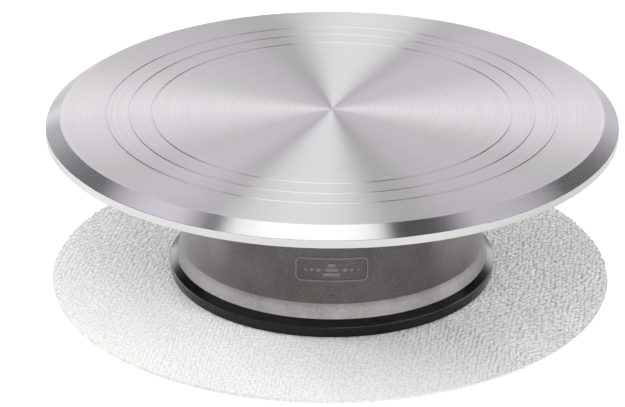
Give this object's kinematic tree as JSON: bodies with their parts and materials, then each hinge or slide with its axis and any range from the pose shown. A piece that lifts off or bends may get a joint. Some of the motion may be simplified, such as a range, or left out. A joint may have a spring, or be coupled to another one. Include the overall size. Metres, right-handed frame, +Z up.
{
  "type": "cake decorating turntable",
  "caption": "Cake decorating turntable: a bevelled round metal plate that spins on bearings in a cast drum base, with a rubber foot ring, on a loose non-slip mat.",
  "frame": {"origin": "on the turning axis, in the plane of the mat's underside, where the set stands on the bench", "axes": "+Z up along the turning axis; -Y is the front, where the raised badge is; +X to the right seen from the front"},
  "size_m": [0.3048, 0.3079, 0.0934],
  "materials": {
    "turned_aluminium": "turned and polished, fine concentric tool marks",
    "base_coat": "fine textured grey enamel over the casting",
    "foot_rubber": "semi-gloss black",
    "mat_foam": "foamed vinyl on an open knit, small irregular bumps",
    "bearing_steel": "ground and polished",
    "spindle_steel": "turned",
    "zinc_steel": "bright zinc plate",
    "spring_steel": "black oxide",
    "seal_rubber": "matte black",
    "hub_steel": "turned"
  },
  "bodies": {
    "mat": {"non_slip_mat": "mat_foam"},
    "base": {"foot_ring": "foot_rubber", "base_casting": "base_coat", "bearing_retainer": "zinc_steel", "retainer_screws": "zinc_steel", "upper_bearing_outer_ring": "bearing_steel", "upper_bearing_seals": "seal_rubber", "lower_bearing_outer_ring": "bearing_steel", "lower_bearing_seals": "seal_rubber", "preload_spring": "spring_steel", "bore_circlip": "spring_steel", "dust_cap": "zinc_steel"},
    "turntable": {"top_plate": "turned_aluminium", "plate_hub": "hub_steel", "hub_screws": "zinc_steel", "spindle_screw": "zinc_steel", "spindle": "spindle_steel", "upper_bearing_inner_ring": "bearing_steel", "bearing_spacer": "spindle_steel", "lower_bearing_inner_ring": "bearing_steel", "spindle_washer": "zinc_steel", "spindle_nut": "zinc_steel"},
    "upper_ball_set": {"upper_bearing_balls": "bearing_steel", "upper_bearing_cage": "zinc_steel"},
    "lower_ball_set": {"lower_bearing_balls": "bearing_steel", "lower_bearing_cage": "zinc_steel"}
  },
  "joints": [
    {"name": "base_lift", "type": "slide", "parent": "mat", "child": "base", "axis": [0, 0, 1], "range_m": [0, 0.1]},
    {"name": "turntable_spin", "type": "hinge", "parent": "base", "child": "turntable", "pos_m": [0, 0, 0.067], "axis": [0, 0, 1], "continuous": true},
    {"name": "upper_ball_set_spin", "type": "hinge", "parent": "base", "child": "upper_ball_set", "pos_m": [0, 0, 0.067], "axis": [0, 0, 1], "continuous": true},
    {"name": "lower_ball_set_spin", "type": "hinge", "parent": "base", "child": "lower_ball_set", "pos_m": [0, 0, 0.031], "axis": [0, 0, 1], "continuous": true}
  ],
  "couplings": [
    {"joint": "upper_ball_set_spin", "follows": "turntable_spin", "ratio": 0.4084},
    {"joint": "lower_ball_set_spin", "follows": "turntable_spin", "ratio": 0.4084}
  ]
}
